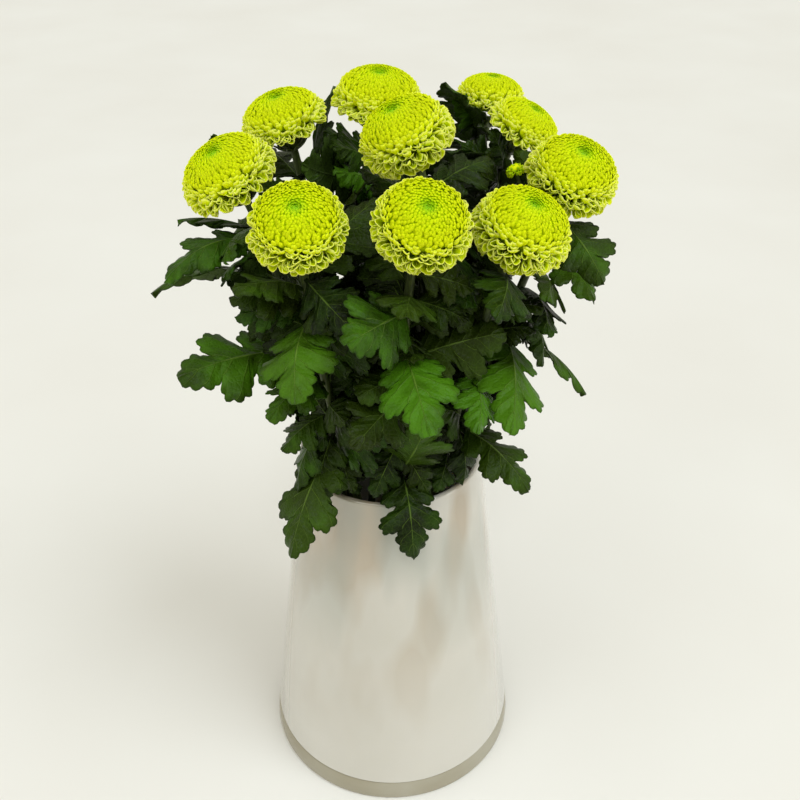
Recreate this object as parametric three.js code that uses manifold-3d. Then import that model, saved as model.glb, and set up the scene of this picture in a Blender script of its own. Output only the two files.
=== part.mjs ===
// Ten green pompon chrysanthemums in water, in a tapered vase of white glass on a clear glass foot.
// Millimetres, +Z up. The origin is the centre of the foot's underside, and the bouquet's front faces -Y.
import * as THREE from "three";
import { ConvexHull } from "three/addons/math/ConvexHull.js";
import { mergeVertices } from "three/addons/utils/BufferGeometryUtils.js";
import Module from "manifold-3d";

const wasm = await Module();
wasm.setup();

const DEGREE = Math.PI / 180;
const FIT_GAP = 0.3; // between pieces that touch on the real thing

// The vase: a cone of white glass over a clear foot of the same outline.
const VASE_HEIGHT = 250;
const FOOT_RADIUS = 90;
const RIM_RADIUS = 59.5;
const FOOT_HEIGHT = 15;
const WALL = 4;
const FLOOR_THICKNESS = 6;
const EDGE_ROUNDING = 2;
const WATER_LEVEL = 120;
const WATER_GAP = 0.6; // wider than elsewhere, because the wall's inside isn't quite a cone
const VASE_SIDES = 40;
const FLOOR = FOOT_HEIGHT + FLOOR_THICKNESS;

// The flowers: each bloom's centre, its width, how far its face leans to the right and to the back, and the
// direction, seen from above, in which its stem passes the vase's rim. The middle one has no direction. The
// flatter ones also say how far they rise above and drop below their centre, as shares of half their width.
const FLOWERS = [
  { at: [-84.5, -10, 437], width: 55, leanRight: -24, leanBack: -19, throat: 187, rise: 0.7, drop: 0.42 },
  { at: [-59.5, 40, 449.5], width: 52, leanRight: -14, leanBack: -10, throat: 146, rise: 0.7, drop: 0.3 },
  { at: [-7, 60, 455], width: 55.5, leanRight: 4, leanBack: -9, throat: 105, rise: 0.74, drop: 0.3 },
  { at: [10, -5, 456], width: 53.5, leanRight: -25, leanBack: -14 },
  { at: [63, 108, 441], width: 47.5, leanRight: 5, leanBack: 0, throat: 70, rise: 0.74, drop: 0.3 },
  { at: [78.5, 62, 438], width: 47.5, leanRight: 27, leanBack: -10, throat: 44, rise: 0.7, drop: 0.3 },
  { at: [101, 10, 428.5], width: 54.5, leanRight: 14, leanBack: -23, throat: 0 },
  { at: [-44.5, -62, 430], width: 52, leanRight: 2, leanBack: -31, throat: 232 },
  { at: [16.5, -66, 433], width: 52, leanRight: 10, leanBack: -35, throat: 280 },
  { at: [68.5, -40, 418.5], width: 55, leanRight: 17, leanBack: -19, throat: 325 },
];

// A bloom is a dome of cupped florets, larger than life, on a spiral. Lengths are shares of half its width.
const FLORETS = 35;
const DOME_HEIGHT = 0.78;
const DOME_DEPTH = 0.6;
const LAST_FLORET_ANGLE = 122; // from the dome's top
const SPIRAL_POWER = 0.56; // under 0.5 the florets would get larger towards the middle
const GROOVE = 0.72; // between the florets
const HOLLOW = 0.8; // inside a floret
const RIM = { share: 0.94, tilt: 0.25, lowest: 0.86, inset: 0.2 };
const UNDERSIDE = 0.36; // how far below the centre the flat underside is
const UNDERSIDE_RADIUS = 0.42;

// A stem stands on the vase's floor, leans against the others at the rim and bends up to its bloom.
const STEM_RADIUS = 2.7;
const STEM_SIDES = 6;
const STEM_STEPS = 8;
const FOOT_RING = 60; // how far from the middle the stems stand
const FOOT_TURN = 110; // how far round they stand from where they pass the rim, in degrees
const THROAT_RING = 40;
const MIDDLE_FOOT = [-6, 6];
const MIDDLE_THROAT = [8, -2];
const NECK = 60; // the part of a stem that points where its bloom points
const CALYX_HEIGHT = 6;
const CALYX_NECK = 0.8; // its radius at the stem, of the stem's
const CALYX_SHOULDER = { radius: 0.8, depth: 0.33 }; // of its radius and height
const CALYX_SIDES = 6;
const HEIGHT_SEARCHES = 40;

// The bud beside the seventh bloom.
const BUD = { stem: 7, height: 385, at: [72, 25, 427], radius: 4.5, stalkRadius: 1.2 };

// A leaf's outline: places along the midrib, the half width there, and how far forward its edge lies. It has
// two lobes a side and one at the tip.
const LEAF_OUTLINE = [
  { along: 0, half: 0.05, forward: 0 },
  { along: 0.14, half: 0.09, forward: 0 },
  { along: 0.3, half: 0.84, forward: 0.06 },
  { along: 0.42, half: 0.5, forward: 0.03 },
  { along: 0.56, half: 1, forward: 0.11 },
  { along: 0.72, half: 0.46, forward: 0.05 },
];
const LEAF_THICKNESS = 0.8;
const LEAF_HALF_WIDTH = 0.31; // of the leaf's length
const LEAF_FOLD = 0.25; // how far the blade's sides drop, per unit of half width

// The leaves that show most: the stem they grow on and the height there, the tip, how far the midrib bows,
// the turn about the midrib in degrees, and the width against the usual one.
const SHOWN_LEAVES = [
  { stem: 1, height: 392, tip: [-122, -35, 387], bow: 16, turn: -35, wide: 0.75 },
  { stem: 1, height: 401, tip: [-120, 5, 406], bow: 4, turn: 30, wide: 0.7 },
  { stem: 1, height: 380, tip: [-86, -50, 397], bow: 8, turn: 0, wide: 0.8 },
  { stem: 1, height: 372, tip: [-88, -36, 389], bow: 6, turn: 30, wide: 0.9 },
  { stem: 1, height: 360, tip: [-138, -8, 366], bow: 17, turn: 30, wide: 0.7 },
  { stem: 1, height: 322, tip: [-120, -45, 332], bow: 8, turn: -45, wide: 1.0 },
  { stem: 8, height: 368, tip: [-47, -98, 350], bow: 10, turn: -5, wide: 1.15 },
  { stem: 8, height: 322, tip: [-64, -85, 331], bow: 10, turn: -20, wide: 0.85 },
  { stem: 8, height: 284, tip: [-58, -88, 234], bow: 8, turn: 0, wide: 0.8 },
  { stem: 9, height: 262, tip: [14, -85, 230], bow: 14, turn: 0, wide: 1.05 },
  { stem: 9, height: 375, tip: [-19, -108, 392], bow: 8, turn: -20, wide: 0.95 },
  { stem: 9, height: 350, tip: [21, -116, 343], bow: 10, turn: 10, wide: 0.9 },
  { stem: 9, height: 335, tip: [8, -85, 349], bow: 8, turn: 0, wide: 0.8 },
  { stem: 9, height: 318, tip: [-19, -98, 322], bow: 10, turn: -10, wide: 1.0 },
  { stem: 10, height: 285, tip: [81, -70, 269], bow: 10, turn: 10, wide: 0.85 },
  { stem: 7, height: 330, tip: [67, -75, 315], bow: 10, turn: 15, wide: 0.8 },
  { stem: 7, height: 332, tip: [122, -5, 294], bow: 7, turn: -10, wide: 0.55 },
  { stem: 7, height: 358, tip: [87, -48, 361], bow: 8, turn: 20, wide: 0.8 },
  { stem: 7, height: 376, tip: [113, -35, 376], bow: 8, turn: 20, wide: 0.85 },
  { stem: 7, height: 404, tip: [121, -18, 377], bow: 7, turn: 50, wide: 1.25 },
  { stem: 5, height: 405, tip: [33, 72, 464], bow: 6, turn: 0, wide: 0.8 },
  { stem: 3, height: 405, tip: [-48, 12, 436], bow: 8, turn: 60, wide: 0.9 },
  { stem: 3, height: 385, tip: [-24, 0, 417], bow: 8, turn: 40, wide: 0.8 },
  { stem: 6, height: 388, tip: [32, 18, 418], bow: 6, turn: 40, wide: 0.8 },
  { stem: 6, height: 404, tip: [29, 30, 438], bow: 6, turn: 40, wide: 0.75 },
  { stem: 5, height: 382, tip: [62, 52, 428], bow: 6, turn: 40, wide: 0.8 },
  { stem: 2, height: 395, tip: [-34, 82, 459], bow: 4, turn: 0, wide: 0.5 },
  { stem: 2, height: 386, tip: [-101, 31, 446], bow: 4, turn: 0, wide: 0.45 },
  { stem: 10, height: 390, tip: [53, -95, 399], bow: 8, turn: 10, wide: 0.8 },
  { stem: 7, height: 368, tip: [84, -50, 384], bow: 8, turn: 0, wide: 0.9 },
  { stem: 7, height: 350, tip: [88, -30, 330], bow: 8, turn: 0, wide: 0.9 },
  { stem: 10, height: 325, tip: [48, -78, 317], bow: 8, turn: 0, wide: 0.9 },
  { stem: 8, height: 300, tip: [-62, -60, 291], bow: 6, turn: 0, wide: 1.1 },
  { stem: 1, height: 404, tip: [-85, -48, 406], bow: 6, turn: 0, wide: 0.75 },
  { stem: 8, height: 370, tip: [-83, -50, 374], bow: 6, turn: 0, wide: 0.75 },
];

// The other leaves grow at even steps up each stem, each a golden angle further round than the last. A leaf
// that would touch something turns aside or rises until it is free, and where none is free, none grows.
const GOLDEN_ANGLE = 137.508;
const FILL = { lowest: 264, step: 13, stagger: 5, belowBloom: 38, length: 60, bow: 8, wide: 1.1 };
const FILL_TURNS = [0, 25, -25, 50, -50, 75, -75, 100, -100, 125, -125, 150, -150];
const FILL_RISES = [18, -15, 42, -42, 62];
const SPREAD = { least: 52, height: 300, there: 66, slope: 0.42 }; // how far from the middle they may reach
const LEAF_CLEARANCE = 7;
const STEM_CLEARANCE = 7;
const BLOOM_CLEARANCE = 3;
const VASE_CLEARANCE = 4;
const BLADE_SAMPLES = [-1, -0.5, 0, 0.5, 1];
const STEM_SAMPLES = 60;
const UP = new THREE.Vector3(0, 0, 1);

const COLOURS = {
  whiteGlass: { color: 0xd8d2c2, roughness: 0.12, metalness: 0 },
  clearGlass: { color: 0xb9bcae, roughness: 0.05, metalness: 0 },
  water: { color: 0xa9c4c0, roughness: 0.05, metalness: 0 },
  leaf: { color: 0x2a4d1c, roughness: 0.5, metalness: 0 },
  petal: { color: 0xc9e60a, roughness: 0.7, metalness: 0 },
};

function solidOf(geometry) {
  const bare = geometry.index ? geometry.toNonIndexed() : geometry.clone();
  bare.deleteAttribute("normal");
  bare.deleteAttribute("uv");
  const merged = mergeVertices(bare, 1e-3);
  const vertProperties = merged.attributes.position.array;
  const triVerts = new Uint32Array(merged.index.array);
  const solid = new wasm.Manifold(new wasm.Mesh({ numProp: 3, vertProperties, triVerts }));
  if (solid.volume() > 0) return solid;
  for (let i = 0; i < triVerts.length; i += 3) {
    [triVerts[i], triVerts[i + 1]] = [triVerts[i + 1], triVerts[i]];
  }
  return new wasm.Manifold(new wasm.Mesh({ numProp: 3, vertProperties, triVerts }));
}

function geometryOf(solid) {
  const { vertProperties, triVerts } = solid.getMesh();
  return new THREE.BufferGeometry()
    .setAttribute("position", new THREE.BufferAttribute(vertProperties, 3))
    .setIndex(new THREE.BufferAttribute(triVerts, 1));
}

function meshOf(name, solid, colour) {
  const geometry = geometryOf(solid).toNonIndexed();
  geometry.computeVertexNormals();
  const mesh = new THREE.Mesh(geometry, new THREE.MeshStandardMaterial(COLOURS[colour]));
  mesh.name = name;
  return mesh;
}

// A closed solid from points and triangles.
function solidFrom(points, triangles) {
  const geometry = new THREE.BufferGeometry().setFromPoints(points).setIndex(triangles);
  return solidOf(geometry);
}

// A round solid from a profile of [radius, height] pairs, which starts and ends on the axis.
function turned(profile, sides = VASE_SIDES) {
  const points = profile.map(([radius, height]) => new THREE.Vector2(radius, height));
  return solidOf(new THREE.LatheGeometry(points, sides).rotateX(Math.PI / 2));
}

function quarterArc(centre, radius, fromAngle, steps) {
  const angles = Array.from({ length: steps + 1 }, (_, i) => (fromAngle + (90 * i) / steps) * DEGREE);
  return angles.map((a) => [centre[0] + radius * Math.cos(a), centre[1] + radius * Math.sin(a)]);
}

function vaseRadius(height) {
  return FOOT_RADIUS + ((RIM_RADIUS - FOOT_RADIUS) * height) / VASE_HEIGHT;
}

function vaseFoot() {
  const inset = FOOT_RADIUS - EDGE_ROUNDING;
  const edge = quarterArc([inset, EDGE_ROUNDING], EDGE_ROUNDING, -90, 1);
  return turned([[0, 0], ...edge, [vaseRadius(FOOT_HEIGHT), FOOT_HEIGHT], [0, FOOT_HEIGHT]]);
}

function vaseBody() {
  const lip = WALL / 2;
  const lipCentre = [RIM_RADIUS - lip, VASE_HEIGHT - lip];
  const bottom = FLOOR + EDGE_ROUNDING;
  return turned([
    [0, FOOT_HEIGHT],
    [vaseRadius(FOOT_HEIGHT), FOOT_HEIGHT],
    ...quarterArc(lipCentre, lip, 0, 2),
    ...quarterArc(lipCentre, lip, 90, 2).slice(1),
    [vaseRadius(bottom) - WALL, bottom],
    [vaseRadius(bottom) - WALL - EDGE_ROUNDING, FLOOR],
    [0, FLOOR],
  ]);
}

// The water has a plain hole for each stem.
function waterSolid(curves) {
  const bottom = FLOOR + FIT_GAP;
  const corner = bottom + EDGE_ROUNDING;
  const full = turned([
    [0, bottom],
    [vaseRadius(corner) - WALL - WATER_GAP - EDGE_ROUNDING, bottom],
    [vaseRadius(corner) - WALL - WATER_GAP, corner],
    [vaseRadius(WATER_LEVEL) - WALL - WATER_GAP, WATER_LEVEL],
    [0, WATER_LEVEL],
  ]);
  const holes = curves.map((curve) => tubeAlong(curve, STEM_RADIUS + FIT_GAP));
  return full.subtract(wasm.Manifold.union(holes));
}

function direction(degrees, radius, height) {
  return new THREE.Vector3(radius * Math.cos(degrees * DEGREE), radius * Math.sin(degrees * DEGREE), height);
}

function bloomAxis({ leanRight, leanBack }) {
  return new THREE.Vector3(Math.tan(leanRight * DEGREE), Math.tan(leanBack * DEGREE), 1).normalize();
}

// The stem's line, from inside the vase's floor, through the throat halfway, to the bloom's underside.
function stemCurve(flower) {
  const { at, width, throat } = flower;
  const axis = bloomAxis(flower);
  const middle = throat === undefined;
  const foot = middle
    ? new THREE.Vector3(...MIDDLE_FOOT, FOOT_HEIGHT)
    : direction(throat + FOOT_TURN, FOOT_RING, FOOT_HEIGHT);
  const through = middle
    ? new THREE.Vector3(...MIDDLE_THROAT, VASE_HEIGHT)
    : direction(throat, THROAT_RING, VASE_HEIGHT);
  const top = new THREE.Vector3(...at).addScaledVector(axis, (-UNDERSIDE * width) / 2 - FIT_GAP);
  const neck = top.clone().addScaledVector(axis, -NECK);
  const low = through.multiplyScalar(8).sub(foot).addScaledVector(neck, -3).sub(top).divideScalar(3);
  return new THREE.CubicBezierCurve3(foot, low, neck, top);
}

function pointAtHeight(curve, height) {
  let [low, high] = [0, 1];
  for (let i = 0; i < HEIGHT_SEARCHES; i += 1) {
    const middle = (low + high) / 2;
    if (curve.getPoint(middle).z < height) low = middle;
    else high = middle;
  }
  return curve.getPoint(low);
}

function tubeAlong(curve, radius, sides = STEM_SIDES, steps = STEM_STEPS) {
  const corners = Array.from({ length: sides }, (_, i) => {
    const turn = (2 * Math.PI * i) / sides;
    return new THREE.Vector2(radius * Math.cos(turn), radius * Math.sin(turn));
  });
  return solidOf(new THREE.ExtrudeGeometry(new THREE.Shape(corners), { steps, extrudePath: curve }));
}

function standingOn(solid, axis, at) {
  const turn = new THREE.Quaternion().setFromUnitVectors(UP, axis);
  return solid.transform(new THREE.Matrix4().compose(at, turn, new THREE.Vector3(1, 1, 1)).elements);
}

// The green cup under the bloom, at the top of its stem.
function calyx(flower, curve) {
  const radius = (UNDERSIDE_RADIUS * flower.width) / 2;
  const neck = [STEM_RADIUS * CALYX_NECK, -CALYX_HEIGHT];
  const shoulder = [radius * CALYX_SHOULDER.radius, -CALYX_HEIGHT * CALYX_SHOULDER.depth];
  const cup = turned([[0, -CALYX_HEIGHT], neck, shoulder, [radius, 0], [0, 0]], CALYX_SIDES);
  return standingOn(cup, bloomAxis(flower), curve.v3);
}

function budOnStalk(curve) {
  const bud = new THREE.Vector3(...BUD.at);
  const root = pointAtHeight(curve, BUD.height);
  const stalk = tubeAlong(new THREE.LineCurve3(root, bud), BUD.stalkRadius, 4, 1);
  const ball = new THREE.IcosahedronGeometry(BUD.radius, 1).translate(...bud);
  return [stalk, solidOf(ball)];
}

// A leaf's midrib and the directions of its blade.
function leafFrame({ root, tip, bow, turn }) {
  const chord = tip.clone().sub(root).normalize();
  const outward = new THREE.Vector3(root.x + tip.x, root.y + tip.y, 0).normalize().add(UP);
  const up = outward.addScaledVector(chord, -outward.dot(chord)).normalize();
  up.applyAxisAngle(chord, turn * DEGREE);
  const side = new THREE.Vector3().crossVectors(chord, up);
  const middle = root.clone().add(tip).divideScalar(2).addScaledVector(up, 2 * bow);
  return { midrib: new THREE.QuadraticBezierCurve3(root, middle, tip), side };
}

// The blade's middle surface: for each place along it, a point at each share of its half width.
function leafRows(leaf, shares) {
  const { midrib, side } = leafFrame(leaf);
  const length = leaf.root.distanceTo(leaf.tip);
  const halfWidth = length * LEAF_HALF_WIDTH * leaf.wide;
  return LEAF_OUTLINE.map(({ along, half, forward }) => {
    const tangent = midrib.getTangent(along);
    const up = new THREE.Vector3().crossVectors(side, tangent);
    const points = shares.map((share) =>
      midrib
        .getPoint(along)
        .addScaledVector(side, share * half * halfWidth)
        .addScaledVector(tangent, Math.abs(share) * forward * length)
        .addScaledVector(up, -Math.abs(share) * half * halfWidth * LEAF_FOLD),
    );
    return { points, up };
  });
}

function leafSolid(leaf) {
  const rows = leafRows(leaf, [-1, 0, 1]);
  const { up: tipUp } = rows[rows.length - 1];
  const half = LEAF_THICKNESS / 2;
  const upper = [];
  const lower = [];
  const addPair = (point, up) => {
    upper.push(point.clone().addScaledVector(up, half));
    lower.push(point.clone().addScaledVector(up, -half));
  };
  rows.forEach(({ points, up }) => points.forEach((point) => addPair(point, up)));
  addPair(leaf.tip, tipUp);
  const tip = upper.length - 1;
  const faces = [];
  const last = rows.length - 1;
  for (let row = 0; row < last; row += 1) {
    const [left, middle, right] = [3 * row, 3 * row + 1, 3 * row + 2];
    const [nextLeft, nextMiddle, nextRight] = [left + 3, middle + 3, right + 3];
    faces.push([left, middle, nextMiddle], [left, nextMiddle, nextLeft]);
    faces.push([middle, right, nextMiddle], [nextMiddle, right, nextRight]);
  }
  faces.push([3 * last, 3 * last + 1, tip], [3 * last + 1, 3 * last + 2, tip]);
  const lefts = rows.map((_, row) => 3 * row);
  const rights = rows.map((_, row) => 3 * row + 2).reverse();
  const edge = [...lefts, tip, ...rights, 1];
  const count = upper.length;
  const triangles = faces.flatMap(([a, b, c]) => [a, b, c, c + count, b + count, a + count]);
  edge.forEach((a, i) => {
    const b = edge[(i + 1) % edge.length];
    triangles.push(a, b, b + count, a, b + count, a + count);
  });
  return solidFrom([...upper, ...lower], triangles);
}

// Points all over a leaf's blade and its petiole, each row followed by one halfway to the next.
function leafSamples(leaf) {
  const rows = leafRows(leaf, BLADE_SAMPLES).slice(1).map(({ points }) => points);
  rows.push(BLADE_SAMPLES.map(() => leaf.tip));
  return rows.flatMap((points, row) => {
    const next = rows[row + 1] ?? points;
    return [...points, ...points.map((point, i) => point.clone().lerp(next[i], 0.5))];
  });
}

function isNear(points, others, distance) {
  return points.some((point) => others.some((other) => point.distanceTo(other) < distance));
}

function isInVase({ x, y, z }) {
  const outside = Math.hypot(x, y) - vaseRadius(Math.min(z, VASE_HEIGHT));
  return z < VASE_HEIGHT + VASE_CLEARANCE && outside < VASE_CLEARANCE;
}

function isBeyondSpread({ x, y, z }) {
  return Math.hypot(x, y) > Math.max(SPREAD.least, SPREAD.there + SPREAD.slope * (z - SPREAD.height));
}

function isFree(samples, { ownStem, stems, leaves }) {
  const nearBloom = FLOWERS.some(({ at, width }) =>
    isNear(samples, [new THREE.Vector3(...at)], width / 2 + BLOOM_CLEARANCE),
  );
  const pastPetiole = samples.slice(2 * BLADE_SAMPLES.length);
  const nearStem = stems.some((stem, i) =>
    isNear(i === ownStem ? pastPetiole : samples, stem, STEM_CLEARANCE),
  );
  const isOut = samples.some(isInVase) || isBeyondSpread(samples[samples.length - 1]);
  return !nearBloom && !nearStem && !isOut && !isNear(samples, leaves, LEAF_CLEARANCE);
}

// All the leaves, those that show most first, each with its stem's number, its root and its tip.
function growLeaves(curves) {
  const stems = curves.map((curve) => {
    const points = curve.getPoints(STEM_SAMPLES);
    return points.filter(({ z }) => z > VASE_HEIGHT);
  });
  const leaves = SHOWN_LEAVES.map((shown) => ({
    ...shown,
    root: pointAtHeight(curves[shown.stem - 1], shown.height),
    tip: new THREE.Vector3(...shown.tip),
  }));
  const taken = leaves.flatMap(leafSamples);
  curves.forEach((curve, ownStem) => {
    const { at, throat = 0 } = FLOWERS[ownStem];
    const first = FILL.lowest + ((ownStem * FILL.stagger) % FILL.step);
    const steps = Math.ceil((at[2] - FILL.belowBloom - first) / FILL.step);
    for (let turns = 0; turns < steps; turns += 1) {
      const root = pointAtHeight(curve, first + turns * FILL.step);
      const candidates = FILL_TURNS.flatMap((turn) =>
        FILL_RISES.map((rise) => {
          const reach = FILL.length * Math.cos(rise * DEGREE);
          const climb = FILL.length * Math.sin(rise * DEGREE);
          const tip = direction(throat + turns * GOLDEN_ANGLE + turn, reach, climb).add(root);
          return { stem: ownStem + 1, root, tip, bow: FILL.bow, turn: 0, wide: FILL.wide };
        }),
      );
      const free = candidates.find((leaf) => isFree(leafSamples(leaf), { ownStem, stems, leaves: taken }));
      if (free) {
        leaves.push(free);
        taken.push(...leafSamples(free));
      }
    }
  });
  return leaves;
}

function leafyStem(flower, curve, leaves) {
  const stalk = tubeAlong(curve, STEM_RADIUS).trimByPlane([0, 0, 1], FLOOR + FIT_GAP);
  return wasm.Manifold.union([stalk, calyx(flower, curve), ...leaves.map(leafSolid)]);
}

// A point on the bloom's dome, at a share of its size.
function onDome(towards, share, { rise = DOME_HEIGHT, drop = DOME_DEPTH }) {
  const height = towards.z * (towards.z > 0 ? rise : drop);
  return new THREE.Vector3(towards.x, towards.y, height).multiplyScalar(share);
}

// The florets' directions on a golden-angle spiral, then straight down for the underside.
function floretDirections() {
  const florets = Array.from({ length: FLORETS }, (_, i) => {
    const fromTop = LAST_FLORET_ANGLE * ((i + 0.5) / FLORETS) ** SPIRAL_POWER * DEGREE;
    return new THREE.Vector3().setFromSphericalCoords(1, fromTop, i * GOLDEN_ANGLE * DEGREE);
  });
  return [...florets.map(({ x, y, z }) => new THREE.Vector3(x, -z, y)), UP.clone().negate()];
}

// The corners where three florets meet, each with the numbers of its florets.
function floretCorners(directions) {
  return new ConvexHull().setFromPoints(directions).faces.map(({ edge }) => {
    const meeting = [edge, edge.next, edge.next.next].map((side) => side.head().point);
    const towards = meeting.reduce((sum, point) => sum.add(point), new THREE.Vector3()).normalize();
    return { towards, florets: meeting.map((point) => directions.indexOf(point)) };
  });
}

// The corners round one floret, counterclockwise seen from outside.
function cornersRound(corners, directions, floret) {
  const axis = directions[floret];
  const across = new THREE.Vector3(axis.z, 0, -axis.x).normalize();
  const along = new THREE.Vector3().crossVectors(axis, across);
  const angle = ({ towards }) => Math.atan2(towards.dot(along), towards.dot(across));
  return corners
    .map((corner, number) => ({ ...corner, number }))
    .filter(({ florets }) => florets.includes(floret))
    .sort((a, b) => angle(a) - angle(b));
}

function bloomSolid(flower) {
  const directions = floretDirections();
  const underside = FLORETS;
  const corners = floretCorners(directions);
  const points = corners.map(({ towards, florets }) => {
    if (!florets.includes(underside)) return onDome(towards, GROOVE, flower);
    const flat = new THREE.Vector3(towards.x, towards.y, 0).setLength(UNDERSIDE_RADIUS);
    return flat.setZ(-UNDERSIDE);
  });
  const triangles = [];
  const addFan = (loop, middle) => {
    const centre = points.push(middle) - 1;
    loop.forEach((a, i) => triangles.push(a, loop[(i + 1) % loop.length], centre));
  };
  for (let floret = 0; floret < FLORETS; floret += 1) {
    const axis = directions[floret];
    const round = cornersRound(corners, directions, floret);
    const outer = round.map(({ number }) => number);
    const rim = round.map(({ towards }) => {
      const lean = RIM.share - RIM.tilt * (towards.z - axis.z);
      const share = THREE.MathUtils.clamp(lean, RIM.lowest, 1);
      const inside = towards.clone().lerp(axis, RIM.inset).normalize();
      return points.push(onDome(inside, share, flower)) - 1;
    });
    outer.forEach((a, i) => {
      const next = (i + 1) % outer.length;
      triangles.push(a, outer[next], rim[next], a, rim[next], rim[i]);
    });
    addFan(rim, onDome(axis, HOLLOW, flower));
  }
  const lowest = cornersRound(corners, directions, underside).map(({ number }) => number);
  addFan(lowest, new THREE.Vector3(0, 0, -UNDERSIDE));
  return solidFrom(points, triangles);
}

function bloomMesh(flower, name) {
  const halfWidth = flower.width / 2;
  const mesh = meshOf(name, bloomSolid(flower).scale(halfWidth), "petal");
  mesh.position.set(...flower.at);
  mesh.quaternion.setFromUnitVectors(UP, bloomAxis(flower));
  return mesh;
}

const curves = FLOWERS.map(stemCurve);
const leaves = growLeaves(curves);
const part = new THREE.Group();
part.add(meshOf("vase_foot", vaseFoot(), "clearGlass"));
part.add(meshOf("vase_body", vaseBody(), "whiteGlass"));
part.add(meshOf("water", waterSolid(curves), "water"));
FLOWERS.forEach((flower, i) => {
  const own = leaves.filter(({ stem }) => stem === i + 1);
  let stem = leafyStem(flower, curves[i], own);
  if (i + 1 === BUD.stem) stem = wasm.Manifold.union([stem, ...budOnStalk(curves[i])]);
  part.add(meshOf(`leafy_stem_${i + 1}`, stem, "leaf"));
  part.add(bloomMesh(flower, `bloom_${i + 1}`));
});

export default part;
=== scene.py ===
"""The looks of ten green pompon chrysanthemums standing in a tapered vase of white glass on a clear foot.

Plant and vase are worked out in millimetres, by the same rules as the solids, and become metres in
add_piece().
"""
import math

import bpy
import numpy as np
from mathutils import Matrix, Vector


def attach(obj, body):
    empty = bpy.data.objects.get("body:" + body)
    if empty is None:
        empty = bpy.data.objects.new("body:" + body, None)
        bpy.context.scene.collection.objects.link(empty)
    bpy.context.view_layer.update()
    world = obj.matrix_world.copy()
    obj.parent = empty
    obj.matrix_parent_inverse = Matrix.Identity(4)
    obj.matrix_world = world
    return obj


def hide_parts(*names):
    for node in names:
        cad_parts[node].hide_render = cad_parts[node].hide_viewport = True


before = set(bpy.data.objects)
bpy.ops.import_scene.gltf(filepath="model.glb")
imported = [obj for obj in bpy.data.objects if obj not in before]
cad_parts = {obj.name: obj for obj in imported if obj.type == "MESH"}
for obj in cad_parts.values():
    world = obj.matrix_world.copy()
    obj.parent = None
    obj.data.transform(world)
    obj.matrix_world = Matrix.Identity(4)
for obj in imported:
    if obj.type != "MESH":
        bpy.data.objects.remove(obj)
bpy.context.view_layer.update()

MM = 0.001
UP = np.array([0.0, 0.0, 1.0])
GOLDEN_ANGLE = 137.508
SEED = 7

# The camera: where it stands, how far it looks down, and its lens on Blender's 36 mm sensor.
CAMERA = {"at": (6.0, -499.5, 625.0), "down": 34.13, "lens": 43.0}

# The vase.
VASE_HEIGHT = 250.0
FOOT_RADIUS = 90.0
RIM_RADIUS = 59.5
FOOT_HEIGHT = 15.0
WALL = 4.0
FLOOR = 21.0
EDGE_ROUNDING = 2.0
VASE_SIDES = 160
ARC_STEPS = 6
LIP_STEPS = 8
LOWER_EDGE = 1.5
FOOT_BEVEL = 0.8
FOOT_REACH = 0.2
FOOT_GAP = 0.05
SHARP_EDGE = 40

# The flowers: centre, width, how far the face leans to the right and to the back, where the stem passes the
# rim, and how far the flatter ones rise and drop from their centre.
FLOWERS = [
    {"at": (-84.5, -10, 437), "width": 55, "lean": (-24, -19), "throat": 187, "rise": 0.7, "drop": 0.42},
    {"at": (-59.5, 40, 449.5), "width": 52, "lean": (-14, -10), "throat": 146, "rise": 0.7, "drop": 0.3},
    {"at": (-7, 60, 455), "width": 55.5, "lean": (4, -9), "throat": 105, "rise": 0.74, "drop": 0.3},
    {"at": (10, -5, 456), "width": 53.5, "lean": (-25, -14), "throat": None},
    {"at": (63, 108, 441), "width": 47.5, "lean": (5, 0), "throat": 70, "rise": 0.74, "drop": 0.3},
    {"at": (78.5, 62, 438), "width": 47.5, "lean": (27, -10), "throat": 44, "rise": 0.7, "drop": 0.3},
    {"at": (101, 10, 428.5), "width": 54.5, "lean": (14, -23), "throat": 0},
    {"at": (-44.5, -62, 430), "width": 52, "lean": (2, -31), "throat": 232},
    {"at": (16.5, -66, 433), "width": 52, "lean": (10, -35), "throat": 280},
    {"at": (68.5, -40, 418.5), "width": 55, "lean": (17, -19), "throat": 325},
]
DOME_HEIGHT = 0.78
DOME_DEPTH = 0.6
USUAL_DOME = (DOME_HEIGHT, DOME_DEPTH)
UNDERSIDE = 0.36
UNDERSIDE_RADIUS = 0.42

# The stems.
STEM_RADIUS = 2.7
FOOT_RING = 60.0
FOOT_TURN = 110.0
THROAT_RING = 40.0
MIDDLE_FOOT = (-6.0, 6.0)
MIDDLE_THROAT = (8.0, -2.0)
NECK = 60.0
CALYX_HEIGHT = 6.0
FIT_GAP = 0.3
HEIGHT_SEARCHES = 40
STEM_LINE_POINTS = 60
STEM_SKIN_RADIUS = STEM_RADIUS * 0.9
STEM_SKIN_SIDES = 18
STEM_RIDGES = 0.05
STEM_TAPER = ((0, 0.8, 1), (1.04, 1, 0.9))
STEM_FLOOR_GAP = 0.4
# The cup's two rings of bracts: how many, how far out they reach, and where they end against the underside.
CALYX_RINGS = ((11, 0.98, -0.1), (9, 0.8, -1.6))
CALYX_ROOT = STEM_RADIUS * 0.7
BRACT_HALF_WIDTH = 2.1
BRACT_CUP = 0.25
# How far a bract's outer skin lies out and down from its inner one.
BRACT_SKIN = (0.25, 0.4)
BUD = {
    "stem": 7, "height": 385, "at": (72, 25, 427), "radius": 5.85, "stalk": 1.2, "florets": 46,
    "floret_size": 0.42, "first_angle": 3, "spread": 132, "last_angle": 125.478, "green": 0.12,
}
STALK_POINTS = 12
STALK_SIDES = 10

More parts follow.
